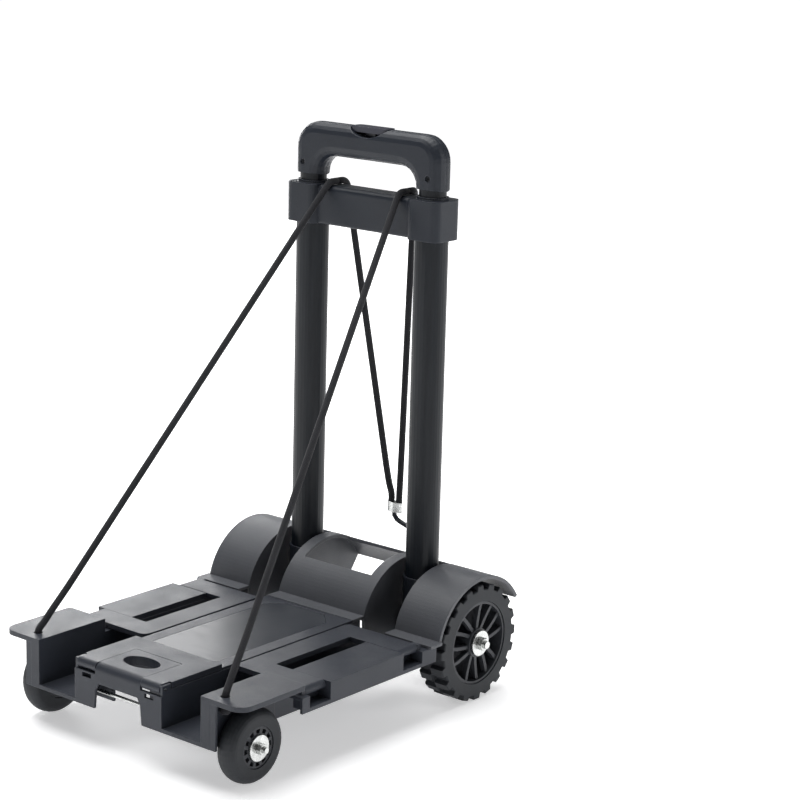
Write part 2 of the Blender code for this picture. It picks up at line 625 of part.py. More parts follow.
def rear_tyre(side, name):
    """A tread band with two rows of lugs, set half a lug apart."""
    inner, outer = WHEEL_FACE_X - WHEEL_WIDTH, WHEEL_FACE_X
    base = WHEEL_R - TREAD_DEPTH
    steps = TREAD_LUGS * 4
    pitch = 360 / TREAD_LUGS
    places = [pitch * share for share in (0.21, 0.29, 0.71, 0.79)]
    bm = bmesh.new()
    rings = []
    middle, shoulder = (inner + outer) / 2, 2 * MM
    for i in range(steps):
        inner_r, outer_r = (base, WHEEL_R) if i % 4 in (0, 3) else (WHEEL_R, base)
        angle = math.radians(pitch * (i // 4) + places[i % 4]) - math.pi / 2
        profile = [
            (inner, RIM_R + GAP), (inner, inner_r - shoulder), (inner + shoulder, inner_r),
            (middle - 1 * MM, inner_r), (middle + 1 * MM, outer_r),
            (outer - shoulder / 2, outer_r), (outer, outer_r - shoulder / 2), (outer, RIM_R + GAP),
        ]
        c, s = math.cos(angle), math.sin(angle)
        points = [(side * x, AXLE_Y + r * c, AXLE_Z + r * s) for x, r in profile]
        rings.append([bm.verts.new(point) for point in points])
    for i in range(steps):
        here, after = rings[i], rings[(i + 1) % steps]
        for j in range(8):
            k = (j + 1) % 8
            bm.faces.new((here[j], here[k], after[k], after[j]))
    return add(f"rear_tyre_{name}", bm, "tyre_rubber", origin=(side * WHEEL_FACE_X, AXLE_Y, AXLE_Z), smooth=30)


def spoke(name, side, degrees, sweep, low, high):
    """A curved bar from the hub to the rim, turned to degrees and leaning by sweep."""
    start, half_wide, steps = math.radians(degrees), 1.9 * MM, 3
    near, far = HUB_R - 2 * MM, RIM_HOLE_R + 2 * MM
    left, right = [], []
    for i in range(steps + 1):
        t = i / steps
        radius = near + (far - near) * t
        angle = start + math.radians(sweep) * t ** 0.7
        across = half_wide / radius
        left.append((AXLE_Y + radius * math.cos(angle - across), AXLE_Z + radius * math.sin(angle - across)))
        right.append((AXLE_Y + radius * math.cos(angle + across), AXLE_Z + radius * math.sin(angle + across)))
    x = span(side, low, high)
    return prism(name, "X", left + right[::-1], x[0], x[1])


def rear_rim(side, name):
    """Rim with a hub and six pairs of curved spokes near the outer face."""
    inner, outer = WHEEL_FACE_X - WHEEL_WIDTH + 1 * MM, WHEEL_FACE_X - 1 * MM
    centre = (AXLE_Y, AXLE_Z)
    ring = [(inner, RIM_HOLE_R), (inner, RIM_R), (outer, RIM_R), (outer, RIM_HOLE_R)]
    rim = turned(f"rear_rim_{name}", ring, side, centre, "rim_plastic", 38,
                 origin=(side * WHEEL_FACE_X, AXLE_Y, AXLE_Z), smooth=30)
    hub = [(inner, AXLE_BORE_R), (inner, HUB_R), (outer, HUB_R), (outer, AXLE_BORE_R)]
    hub_ring = turned(f"rear_hub_{name}", hub, side, centre, None, 32)
    back_x = (inner + 2 * MM, inner + 4.5 * MM)
    back = [(back_x[0], HUB_R - 1 * MM), (back_x[0], RIM_HOLE_R + 1 * MM), (back_x[1], RIM_HOLE_R + 1 * MM),
            (back_x[1], HUB_R - 1 * MM)]
    joined = [hub_ring, turned(f"rear_disc_{name}", back, side, centre, None, 34)]
    for i in range(6):
        sweep = 12 if i % 2 else -12
        for lean in (-1, 1):
            tag = f"spoke_{name}_{i}_{'a' if lean < 0 else 'b'}"
            at = 75 + 60 * i + 13 * lean - sweep / 2
            joined.append(spoke(tag, side, at, sweep, outer - 8 * MM, outer - 2 * MM))
    join(rim, *joined)
    return rim


def nut_and_washer(side, name, tag, centre, radius, face, washer_r, nut_r):
    """Washer and nut on a threaded end that stands out of face."""
    out = face + GAP
    ring = [(out, radius + GAP), (out, washer_r), (out + WASHER_THICK, washer_r), (out + WASHER_THICK, radius + GAP)]
    turned(f"{tag}_washer_{name}", ring, side, centre, "zinc", 24, smooth=40)
    out += WASHER_THICK + GAP
    x = span(side, out, out + NUT_THICK)
    nut = prism(f"{tag}_nut_{name}", "X", ellipse(nut_r, nut_r, centre, 6), x[0], x[1], "zinc")
    cut(nut, rod(f"{tag}_nut_bore_{name}", "X", centre, radius + GAP, x[0] - WALL, x[1] + WALL))


def rear_axle():
    ends = WHEEL_FACE_X + WASHER_THICK + NUT_THICK + 4 * MM
    rod("rear_axle", "X", (AXLE_Y, AXLE_Z), AXLE_R, -ends, ends, "zinc", 24, smooth=40)
    for side, name in ((-1, "left"), (1, "right")):
        nut_and_washer(side, name, "rear", (AXLE_Y, AXLE_Z), AXLE_R, WHEEL_FACE_X, 13.5 * MM, 6.8 * MM)


def axle_spacer(side, name):
    """Sleeve on the axle between the housing's wall and the wheel's hub."""
    low, high = SLOT_OUT + WALL + GAP, WHEEL_FACE_X - WHEEL_WIDTH + 1 * MM - GAP
    ring = [(low, AXLE_BORE_R), (low, AXLE_BORE_R + 3 * MM), (high, AXLE_BORE_R + 3 * MM), (high, AXLE_BORE_R)]
    turned(f"axle_spacer_{name}", ring, side, (AXLE_Y, AXLE_Z), "rim_plastic", 24, smooth=40)


# ---------------------------------------------------------------- front wheels

def front_wheel(side, name):
    """A crowned tyre on a hub with slots round the bearing."""
    middle = (CASTER_IN + CASTER_OUT) / 2
    half = CASTER_WIDTH / 2
    centre = (CASTER_Y, CASTER_R)
    origin = (side * middle, CASTER_Y, CASTER_R)
    crown = [(middle + half * math.cos(math.radians(a)), CASTER_R - 8 * MM + 8 * MM * math.sin(math.radians(a)))
             for a in range(180, -1, -18)]
    profile = [(CASTER_IN, CASTER_HUB_R + GAP)] + crown + [(CASTER_OUT, CASTER_HUB_R + GAP)]
    turned(f"front_tyre_{name}", profile, side, centre, "tyre_rubber", 40, origin=origin, smooth=30)
    out, recess = CASTER_OUT - 1 * MM, 4 * MM
    hub = [(CASTER_IN + 1 * MM, BOLT_R + GAP), (CASTER_IN + 1 * MM, CASTER_HUB_R), (out, CASTER_HUB_R),
           (out, BOLT_R + GAP)]
    disc = turned(f"front_hub_{name}", hub, side, centre, "rim_plastic", 36, origin=origin, smooth=30)
    notch_x = span(side, out - recess, out + WALL)
    for i in range(HUB_NOTCHES):
        at = 360 * i / HUB_NOTCHES
        notch = arc(centre, 18.6 * MM, at - 9.3, at + 8.7, 2) + arc(centre, 14.4 * MM, at + 8.1, at - 8.4, 2)
        cut(disc, prism(f"hub_notch_{name}_{i}", "X", notch, notch_x[0], notch_x[1]))
    low = BLOCK_OUT - LEG_THICK - 0.8 * MM
    high = CASTER_OUT + WASHER_THICK + NUT_THICK + 3.5 * MM
    x = span(side, low, high)
    bolt = rod(f"front_bolt_{name}", "X", centre, BOLT_R, x[0], x[1], "zinc", 20, smooth=40)
    head = span(side, low - 2.7 * MM, low + 0.5 * MM)
    join(bolt, prism(f"front_bolt_head_{name}", "X", ellipse(5.5 * MM, 5.5 * MM, centre, 6), head[0], head[1]))
    nut_and_washer(side, name, "front", centre, BOLT_R, CASTER_OUT - 1 * MM, 13 * MM, 5.6 * MM)


# ---------------------------------------------------------------- mast

def tube_loop(side, a, b, z, count=32):
    return [(x, y, z) for x, y in ellipse(a, b, (side * TUBE_X, AXLE_Y), count, 2.3)]


def oval(name, side, a, b, low, high, slot=None, **options):
    return loft(name, [tube_loop(side, a, b, low), tube_loop(side, a, b, high)], slot, **options)


def hollow_oval(name, side, a, b, wall, low, high, slot, origin):
    tube = oval(name, side, a, b, low, high, slot, origin=origin, smooth=40)
    bore = oval(f"{name}_bore", side, a - wall, b - wall, low - WALL, high + WALL)
    return cut(tube, bore)


def foot(side, name):
    """A socket that turns on the axle and holds a tube's lower end."""
    low = AXLE_Z
    body = oval(f"tube_foot_{name}", side, FOOT_A - 0.5 * MM, FOOT_B, low, FOOT_TOP, "handle_plastic", origin=AXLE,
                smooth=40)
    x = span(side, TUBE_X - FOOT_A + 0.7 * MM, TUBE_X + FOOT_A - 0.7 * MM)
    join(body, rod(f"foot_eye_{name}", "X", (AXLE_Y, AXLE_Z), FOOT_B - 0.2 * MM, x[0], x[1], count=32))
    cut(body, oval(f"foot_socket_{name}", side, TUBE_A + GAP, TUBE_B + GAP, TUBE_LOW - GAP, FOOT_TOP + WALL))
    cut(body, rod(f"foot_bore_{name}", "X", (AXLE_Y, AXLE_Z), AXLE_BORE_R, x[0] - WALL, x[1] + WALL))
    return body


def outer_tube(side, name):
    top = YOKE_HIGH - YOKE_CAP - GAP
    return hollow_oval(f"outer_tube_{name}", side, TUBE_A, TUBE_B, TUBE_WALL, TUBE_LOW, top, "tube_metal", AXLE)


def yoke():
    """Two collars over the tubes' tops, joined by a round-topped bar."""
    round_low = 2.5 * MM
    outline = rounded((AXLE_Y - BAR_HALF_DEPTH, YOKE_LOW), (AXLE_Y + BAR_HALF_DEPTH, YOKE_HIGH),
                      (round_low, round_low, BAR_ROUND, BAR_ROUND), 6)
    bar_end = TUBE_X - TUBE_A + 2 * MM
    bar = prism("yoke", "X", outline, -bar_end, bar_end, "handle_plastic", origin=AXLE, smooth=30)
    for side, name in ((-1, "left"), (1, "right")):
        low, high = span(side, YOKE_IN, YOKE_HALF)
        radii = [9 * MM, 9 * MM, 9 * MM, 9 * MM]
        plan = rounded((low, AXLE_Y - YOKE_DEPTH), (high, AXLE_Y + YOKE_DEPTH), radii, 6)
        join(bar, prism(f"collar_{name}", "Z", plan, YOKE_LOW, YOKE_HIGH - 0.05 * MM))
        join(bar, oval(f"neck_{name}", side, INNER_A + NECK, INNER_B + NECK, YOKE_HIGH - WALL, YOKE_HIGH + NECK))
        cut(bar, oval(f"collar_seat_{name}", side, TUBE_A + GAP, TUBE_B + GAP, YOKE_LOW - WALL, YOKE_HIGH - YOKE_CAP))
        cut(bar, oval(f"collar_guide_{name}", side, INNER_A + GAP, INNER_B + GAP, YOKE_LOW, YOKE_HIGH + WALL))
    return bar


# ---------------------------------------------------------------- handle

def inner_tube(side, name):
    low, high = TUBE_LOW + 26 * MM, GRIP_UNDER + 12 * MM
    tube = hollow_oval(f"inner_tube_{name}", side, INNER_A, INNER_B, INNER_WALL, low, high, "tube_metal",
                       HANDLE_ORIGIN)
    return cut(tube, rod(f"tube_screw_hole_{name}", "Y", screw_spot(side), 3.3 * MM, AXLE_Y - 2 * INNER_B,
                         AXLE_Y - 6 * MM, count=16))


def glide(side, name):
    """Plastic plug on an inner tube's lower end, which runs in the outer tube."""
    a, b = TUBE_A - TUBE_WALL - GAP, TUBE_B - TUBE_WALL - GAP
    low, high = TUBE_LOW + 2 * MM, TUBE_LOW + 26 * MM - GAP
    body = oval(f"tube_glide_{name}", side, a, b, low, high, "button_plastic", origin=HANDLE_ORIGIN, smooth=40)
    spigot = oval(f"glide_spigot_{name}", side, INNER_A - INNER_WALL - GAP, INNER_B - INNER_WALL - GAP,
                  high - WALL, high + 14 * MM)
    return join(body, spigot)


def grip_outline():
    """The handle's outline from the front, legs down."""
    out, leg_in, corner_r, arch = TUBE_X + GRIP_LEG_A, TUBE_X - GRIP_LEG_A, 27 * MM, 19.5 * MM
    points = [(out, GRIP_LEG_LOW)]
    points += arc((out - corner_r, GRIP_TOP - corner_r), corner_r, 0, 90, 8)
    points += arc((-out + corner_r, GRIP_TOP - corner_r), corner_r, 90, 180, 8)
    points += [(-out, GRIP_LEG_LOW), (-leg_in, GRIP_LEG_LOW)]
    points += arc((-leg_in + arch, GRIP_UNDER - arch), arch, 180, 90, 5)
    points += arc((leg_in - arch, GRIP_UNDER - arch), arch, 90, 0, 5)
    points += [(leg_in, GRIP_LEG_LOW)]
    return points


def smile():
    """The curved hollow under the button, as a circular segment hanging from the grip's top."""
    half = BUTTON_HALF + 1.5 * MM
    radius = (half ** 2 + SMILE_DEPTH ** 2) / (2 * SMILE_DEPTH)
    swing = math.degrees(math.asin(half / radius))
    centre = (0, GRIP_TOP - SMILE_DEPTH + radius)
    outline = arc(centre, radius, 270 - swing, 270 + swing, 12)
    outline += [(half, GRIP_TOP + WALL), (-half, GRIP_TOP + WALL)]
    return outline


def grip_half(name, front):
    """One shell of the handle. The two meet at the tubes' centre plane."""
    depth = GRIP_DEPTH
    low, high = (-depth, -GAP / 2) if front else (GAP / 2, depth)
    edge = GRIP_ROUND
    bm_sections = []
    outer, seam = (low, high) if front else (high, low)
    inward = 1 if front else -1
    for i in range(5):
        angle = math.radians(90 * i / 4)
        inset = edge * (1 - math.sin(angle))
        along = outer + inward * edge * (1 - math.cos(angle))
        section = []
        for (_, old_z), (x, z) in zip(grip_outline(), inset_outline(grip_outline(), inset)):
            foot_z = GRIP_LEG_LOW + min(inset, 1.5 * MM)
            section.append((x, AXLE_Y + along, foot_z if old_z == GRIP_LEG_LOW else z))
        bm_sections.append(section)
    bm_sections.append([(x, AXLE_Y + seam, z) for x, z in grip_outline()])
    shell = loft(name, bm_sections, "handle_plastic", origin=HANDLE_ORIGIN, smooth=50)
    tag = "front" if front else "rear"
    cut(shell, prism(f"smile_{tag}", "Y", smile(), AXLE_Y - 2 * depth, AXLE_Y + 2 * depth))
    room = [size + 2 * GAP for size in (BUTTON_HALF, BUTTON_DEPTH)]
    pocket = rounded((-room[0], AXLE_Y - room[1]), (room[0], AXLE_Y + room[1]), [5 * MM] * 4, 5)
    pocket_low = GRIP_TOP - BUTTON_THICK - BUTTON_TRAVEL - 1 * MM
    cut(shell, prism(f"button_pocket_{tag}", "Z", pocket, pocket_low, GRIP_TOP + WALL))
    stem = (BUTTON_HALF / 4 + GAP, 4 * MM + GAP)
    cut(shell, block(f"stem_room_{tag}", (-stem[0], stem[0]), (AXLE_Y - stem[1], AXLE_Y + stem[1]),
                     (GRIP_TOP - 22 * MM, GRIP_TOP)))
    for side, word in ((-1, "left"), (1, "right")):
        cut(shell, oval(f"grip_seat_{tag}_{word}", side, INNER_A + GAP, INNER_B + GAP, GRIP_LEG_LOW - WALL,
                        GRIP_UNDER + 12 * MM + GAP))
        if front:
            hole = rod(f"screw_hole_{word}", "Y", screw_spot(side), 3.3 * MM, AXLE_Y - 2 * depth,
                       AXLE_Y - depth + 5 * MM, count=16)
            cut(shell, hole)
    return shell


def screw_spot(side):
    return side * (TUBE_X + 3.5 * MM), GRIP_LEG_LOW + 13 * MM


def inset_outline(points, distance):
    """points moved inwards by distance, for an outline with its inside on the left."""
    moved = []
    count = len(points)
    for i, point in enumerate(points):
        before, after = Vector(points[i - 1]), Vector(points[(i + 1) % count])
        here = Vector(point)
        first, second = (here - before).normalized(), (after - here).normalized()
        normal = (Vector((-first.y, first.x)) + Vector((-second.y, second.x))) / 2
        normal /= max(normal.length_squared, 0.3)
        moved.append(tuple(here + normal * distance))
    return moved


def grip_screw(side, name):
    centre = screw_spot(side)
    front = AXLE_Y - GRIP_DEPTH
    screw = rod(f"grip_screw_{name}", "Y", centre, 3 * MM, front + 1.2 * MM, front + 4.7 * MM, "tube_metal", 16,
                origin=HANDLE_ORIGIN, smooth=40)
    for i, (w, h) in enumerate(((2 * MM, 0.45 * MM), (0.45 * MM, 2 * MM))):
        x, z = centre
        recess = block(f"cross_{name}_{i}", (x - w, x + w), (front, front + 2.4 * MM), (z - h, z + h))
        cut(screw, recess)
    return screw


def release_button():
    half = BUTTON_HALF
    top = GRIP_TOP + 0.6 * MM
    outline = rounded((-half, AXLE_Y - BUTTON_DEPTH), (half, AXLE_Y + BUTTON_DEPTH), [5 * MM] * 4, 5)
    button = prism("release_button", "Z", outline, top - BUTTON_THICK, top, "button_plastic", smooth=40,
                   origin=(0, AXLE_Y, GRIP_TOP))
    stem = BUTTON_HALF / 4
    join(button, block("button_stem", (-stem, stem), (AXLE_Y - 4 * MM, AXLE_Y + 4 * MM),
                       (GRIP_TOP - 17 * MM, GRIP_TOP - 3 * MM)))
    return button


# ---------------------------------------------------------------- cord

def smooth_route(points, step):
    """Points spaced about step along a Catmull-Rom curve through points."""
    points = [Vector(p) for p in points]
    padded = [2 * points[0] - points[1], *points, 2 * points[-1] - points[-2]]
    route = [points[0]]
    for a, b, c, d in zip(padded, padded[1:], padded[2:], padded[3:]):
        pieces = max(1, round((c - b).length / step))
        for i in range(1, pieces + 1):
            t = i / pieces
            route.append(0.5 * ((2 * b) + (c - a) * t + (2 * a - 5 * b + 4 * c - d) * t * t
                                + (3 * b - a - 3 * c + d) * t ** 3))
    return route


def tube_curve(name, points, radius, slot, resolution=2, origin=(0, 0, 0)):
    curve = bpy.data.curves.new(name, "CURVE")
    curve.dimensions = "3D"
    curve.bevel_depth = radius
    curve.bevel_resolution = resolution
    curve.use_fill_caps = True
    spline = curve.splines.new("POLY")
    spline.points.add(len(points) - 1)
    for target, point in zip(spline.points, points):
        target.co = (*(Vector(point) - Vector(origin)), 1)
    curve.materials.append(material(slot))
    obj = bpy.data.objects.new(name, curve)
    obj.location = origin
    bpy.context.scene.collection.objects.link(obj)
    return obj


def cord_over_yoke(side):
    """Centre line round the yoke bar's top, front half and rear half, from front to back."""
    bend = BAR_ROUND + CORD_R + GAP
    front_centre = (-BAR_HALF_DEPTH + BAR_ROUND, YOKE_HIGH - BAR_ROUND)
    rear_centre = (-front_centre[0], front_centre[1])
    x = side * CORD_YOKE_X
    drift = (CORD_REAR_X - CORD_YOKE_X) / 6 if side > 0 else 0
    front = [Vector((x, AXLE_Y + y, z)) for y, z in arc(front_centre, bend, 142, 90, 4)]
    rear = [Vector((x + drift * i, AXLE_Y + y, z)) for i, (y, z) in enumerate(arc(rear_centre, bend, 90, 3, 6))]
    return front, rear


def cord_front(side, name):
    """From the knot under a corner plate to the top of the yoke."""
    hole = Vector((side * CORD_HOLE_X, AXLE_Y - CORD_HOLE_REACH, CORNER_TOP))
    front, _ = cord_over_yoke(side)
    start = [hole - Vector((0, 0, 9 * MM)), hole - Vector((0, 0, 3 * MM)), hole + Vector((0, 0.8 * MM, 3 * MM))]
    goal = front[0]
    lean = (goal - hole).normalized()
    start += [hole + lean * d * MM + Vector((0, 0, 1.5 * MM)) for d in (11, 22)]
    run = [hole.lerp(goal, t) for t in (0.1, 0.3, 0.5, 0.7, 0.9)]
    end = Vector((front[-1].x, AXLE_Y - GAP / 2, front[-1].z))
    route = smooth_route(start, 6 * MM) + smooth_route(run, 18 * MM) + front + [end]
    return tube_curve(f"cord_front_{name}", route, CORD_R, "cord_fabric")


def cord_rear(side, name):
    """From the top of the yoke down to the ferrule."""
    _, rear = cord_over_yoke(side)
    begin = Vector((rear[0].x, AXLE_Y + GAP / 2, rear[0].z))
    target = Vector((0, AXLE_Y, 0)) + FERRULE + Vector((side * 5.4 * MM, 0, 0))
    run = [rear[-1].lerp(target, t) for t in (0.06, 0.3, 0.6, 0.9)]
    end = [target + Vector((0, 0, 9 * MM)), target + Vector((0, 0, 1 * MM))]
    route = [begin] + rear + smooth_route(run + end, 18 * MM)
    return tube_curve(f"cord_rear_{name}", route, CORD_R, "cord_fabric", origin=AXLE)


def cord_knot(side, name):
    centre = Vector((side * CORD_HOLE_X, AXLE_Y - CORD_HOLE_REACH, CORNER_TOP - 9 * MM - GAP))
    x = side * CORD_HOLE_X
    sections = []
    for i in range(7):
        angle = math.radians(-80 + 160 * i / 6)
        radius, drop = 5.6 * MM * math.cos(angle), 4.6 * MM * math.sin(angle)
        ring = ellipse(radius * 0.98, radius, (x, centre.y), 16)
        sections.append([(u, v, centre.z - 4.6 * MM + drop) for u, v in ring])
    return loft(f"cord_knot_{name}", sections, "cord_fabric", smooth=40)


def ferrule_and_hook():
    at = Vector((0, AXLE_Y, 0)) + FERRULE
    outline = ellipse(10 * MM, 4.3 * MM, (at.x, at.y), 20)
    top = at.z + 0.6 * MM
    sleeve = prism("cord_ferrule", "Z", outline, top - 11 * MM, top, "zinc", origin=AXLE, smooth=40)
    route = [(20.5, 26, -11.3), (20.3, 26, -14.2), (23.5, 26.4, -18.4), (32, 27, -21.8), (43, 27, -25),
             (56, 26, -30), (68, 22, -35), (TUBE_X / MM - 1, 19.5, -38)]
    path = smooth_route([Vector((x * MM, AXLE_Y + y * MM, at.z + z * MM)) for x, y, z in route], 5 * MM)
    hook = tube_curve("cord_hook", path, 2.6 * MM, "handle_plastic", 2, AXLE)
    return sleeve, hook


def main():
    for obj in list(bpy.data.objects):
        bpy.data.objects.remove(obj)
    deck_frame()
    deck_panel()
    catch_rod()
    both(side_flap)
    both(flap_pins)
    front_lid()
    both(lid_pins)
    drum_housing()
    both(rear_tyre)
    both(rear_rim)
    rear_axle()
    both(axle_spacer)
    both(front_wheel)
    both(foot)
    both(outer_tube)
    yoke()
    both(inner_tube)
    both(glide)
    grip_half("grip_front", True)
    grip_half("grip_rear", False)
    both(grip_screw)
    release_button()
    both(cord_front)
    both(cord_rear)
    both(cord_knot)
    ferrule_and_hook()


main()
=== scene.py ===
"""Looks of the folding luggage cart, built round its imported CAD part."""
import json
import math

import bpy
from mathutils import Matrix, Vector


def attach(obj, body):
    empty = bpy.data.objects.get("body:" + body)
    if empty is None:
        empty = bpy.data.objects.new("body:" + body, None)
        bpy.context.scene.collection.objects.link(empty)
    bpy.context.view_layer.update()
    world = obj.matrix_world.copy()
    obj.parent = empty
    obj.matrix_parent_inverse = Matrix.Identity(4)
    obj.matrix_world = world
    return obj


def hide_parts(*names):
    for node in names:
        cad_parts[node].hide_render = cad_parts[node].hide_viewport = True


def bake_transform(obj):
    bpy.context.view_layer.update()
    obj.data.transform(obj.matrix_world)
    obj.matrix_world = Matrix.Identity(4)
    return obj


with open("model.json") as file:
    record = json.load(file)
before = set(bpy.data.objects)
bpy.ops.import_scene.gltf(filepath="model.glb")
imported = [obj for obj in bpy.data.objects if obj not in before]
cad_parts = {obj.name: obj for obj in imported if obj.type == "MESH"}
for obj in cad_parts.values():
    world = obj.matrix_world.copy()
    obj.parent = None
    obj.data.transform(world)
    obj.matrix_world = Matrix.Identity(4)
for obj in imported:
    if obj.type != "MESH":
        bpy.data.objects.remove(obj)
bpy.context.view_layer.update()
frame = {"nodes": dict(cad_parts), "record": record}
MM = 0.001

# The same places as in the CAD, for the cords that stand for its plain tubes.
AXLE_Y = 150.75 * MM
CORNER_TOP = 92 * MM
CORD_R = 3.5 * MM
HOLE_X = 129.5 * MM
HOLE_Y = AXLE_Y - 349 * MM
YOKE_X = 48 * MM
REAR_X = 42 * MM
YOKE_TOP = 519.5 * MM
BAR_HALF_DEPTH = 14 * MM
BAR_ROUND = 6 * MM
BAR_GAP = 0.3 * MM           # between the bar and the cord over it
FERRULE = Vector((20.5 * MM, AXLE_Y + 26.6 * MM, 181 * MM))
STRAND_X = 5.4 * MM          # from the clamp's middle to each strand in it
RUN_STEP = 4 * MM            # between rings along a straight run
BEND_STEP = 2 * MM           # between rings where the cord turns
CORD_SIDES = 18
BRAID_UV = "braid"
BRAID_REPEAT = 6 * CORD_R    # length along the cord that one UV unit covers


# ---------------------------------------------------------------- materials

BEVEL_SAMPLES = 6
FLAT_DOT, EDGE_DOT = 0.995, 0.86   # rounded against true normal: flat face, worn edge
CLOUD_DARK, CLOUD_PALE, SPECK_PALE = 0.88, 1.12, 1.35   # shares of a moulding's colour
SCRATCH_DEPTH = 0.02 * MM
PANEL_WAVE = 0.12 * MM
PEEL_DEPTH = 0.03 * MM
GRIT_DEPTH = 0.10 * MM
BRUSH_DEPTH = 0.03 * MM
WEAVE_DEPTH, FUZZ_DEPTH = 0.35 * MM, 0.10 * MM


class Graph:
    """A material's node tree, with short calls for the nodes used here."""

    def __init__(self, name):
        self.material = bpy.data.materials.new(name)
        self.material.use_nodes = True
        self.tree = self.material.node_tree
        self.shader = self.tree.nodes["Principled BSDF"]
        self.place = self.node("ShaderNodeTexCoord").outputs["Object"]

    def node(self, kind, **settings):
        made = self.tree.nodes.new(kind)
        for key, value in settings.items():
            setattr(made, key, value)
        return made

    def feed(self, socket, value):
        if isinstance(value, bpy.types.NodeSocket):
            self.tree.links.new(value, socket)
        else:
            socket.default_value = value

    def noise(self, scale, detail=3.0, roughness=0.5, stretch=None):
        made = self.node("ShaderNodeTexNoise")
        place = self.place
        if stretch:
            mapping = self.node("ShaderNodeMapping")
            self.feed(mapping.inputs["Vector"], place)
            mapping.inputs["Scale"].default_value = stretch
            place = mapping.outputs["Vector"]
        self.feed(made.inputs["Vector"], place)
        made.inputs["Scale"].default_value = scale
        made.inputs["Detail"].default_value = detail
        made.inputs["Roughness"].default_value = roughness
        return made.outputs["Fac"]

    def math(self, operation, a, b=0.5):
        made = self.node("ShaderNodeMath", operation=operation)
        self.feed(made.inputs[0], a)
        self.feed(made.inputs[1], b)
        return made.outputs[0]

    def between(self, value, low, high, to_low=0.0, to_high=1.0):
        """value from low..high carried to to_low..to_high."""
        made = self.node("ShaderNodeMapRange")
        self.feed(made.inputs["Value"], value)
        ends = {"From Min": low, "From Max": high, "To Min": to_low, "To Max": to_high}
        for key, number in ends.items():
            made.inputs[key].default_value = number
        return made.outputs[0]

    def mix(self, amount, a, b):
        """Colour a where amount is 0 and b where it is 1."""
        made = self.node("ShaderNodeMix", data_type="RGBA")
        colours = [socket for socket in made.inputs if socket.type == "RGBA"]
        self.feed(made.inputs[0], amount)
        for socket, colour in zip(colours, (a, b)):
            self.feed(socket, colour if isinstance(colour, bpy.types.NodeSocket) else (*colour, 1))
        return [socket for socket in made.outputs if socket.type == "RGBA"][0]

    def bevelled(self, radius):
        made = self.node("ShaderNodeBevel", samples=BEVEL_SAMPLES)
        made.inputs["Radius"].default_value = radius
        return made.outputs["Normal"]

    def edge(self, normal):
        """1 along edges that the bevelled normal rounds, 0 on flats."""
        geometry = self.node("ShaderNodeNewGeometry")
        dot = self.node("ShaderNodeVectorMath", operation="DOT_PRODUCT")
        self.feed(dot.inputs[0], normal)
        self.feed(dot.inputs[1], geometry.outputs["Normal"])
        return self.between(dot.outputs["Value"], FLAT_DOT, EDGE_DOT)

    def bump(self, height, distance, strength=1.0, normal=None):
        made = self.node("ShaderNodeBump")
        made.inputs["Distance"].default_value = distance
        made.inputs["Strength"].default_value = strength
        self.feed(made.inputs["Height"], height)
        if normal is not None:
            self.feed(made.inputs["Normal"], normal)
        return made.outputs["Normal"]

    def finish(self, colour, roughness, normal=None, metallic=0.0, **fixed):
        self.feed(self.shader.inputs["Base Color"], colour)
        self.feed(self.shader.inputs["Roughness"], roughness)
        self.shader.inputs["Metallic"].default_value = metallic
        if normal is not None:
            self.feed(self.shader.inputs["Normal"], normal)
        for key, value in fixed.items():
            self.shader.inputs[key.replace("_", " ")].default_value = value
        return self.material


def moulded(name, colour, worn, roughness, grain=0.12 * MM, grain_scale=1500,
            edge=0.8 * MM, shine=0.3):
    """Grained injection-moulded plastic, a little paler and smoother along its edges."""
    g = Graph(name)
    soft = g.bevelled(edge)
    wear = g.math("MULTIPLY", g.edge(soft), g.between(g.noise(60, 4), 0.3, 0.7, 0.35, 1.0))
    cloud = g.between(g.noise(14, 5, 0.6), 0.3, 0.7)
    speck = g.between(g.noise(grain_scale, 2, 0.6), 0.35, 0.65)
    shade = g.mix(cloud, [c * CLOUD_DARK for c in colour], [c * CLOUD_PALE for c in colour])
    shade = g.mix(g.math("MULTIPLY", speck, 0.35), shade, [c * SPECK_PALE for c in colour])
    shade = g.mix(g.math("MULTIPLY", wear, 0.75), shade, worn)
    gloss = g.between(g.noise(35, 4), 0.3, 0.7, roughness - 0.05, roughness + 0.06)
    gloss = g.math("SUBTRACT", gloss, g.math("MULTIPLY", wear, 0.08))
    normal = g.bump(speck, grain, 0.6, soft)
    scratch = g.between(g.noise(90, 3, 0.7, (1.0, 14.0, 14.0)), 0.62, 0.72)
    normal = g.bump(scratch, SCRATCH_DEPTH, 0.5, normal)
    return g.finish(shade, gloss, normal, Specular_IOR_Level=shine)


def gloss_panel(name):
    """Smooth dark plastic with faint rubbing and a slight wave."""
    g = Graph(name)
    soft = g.bevelled(0.5 * MM)
    cloud = g.between(g.noise(9, 3), 0.35, 0.65)
    shade = g.mix(cloud, (0.036, 0.039, 0.046), (0.046, 0.050, 0.058))
    rub = g.between(g.noise(40, 5, 0.65, (1.0, 5.0, 1.0)), 0.45, 0.75, 0.16, 0.26)
    wave = g.bump(g.noise(22, 2), PANEL_WAVE, 0.5, soft)
    return g.finish(shade, rub, wave, Specular_IOR_Level=0.07)


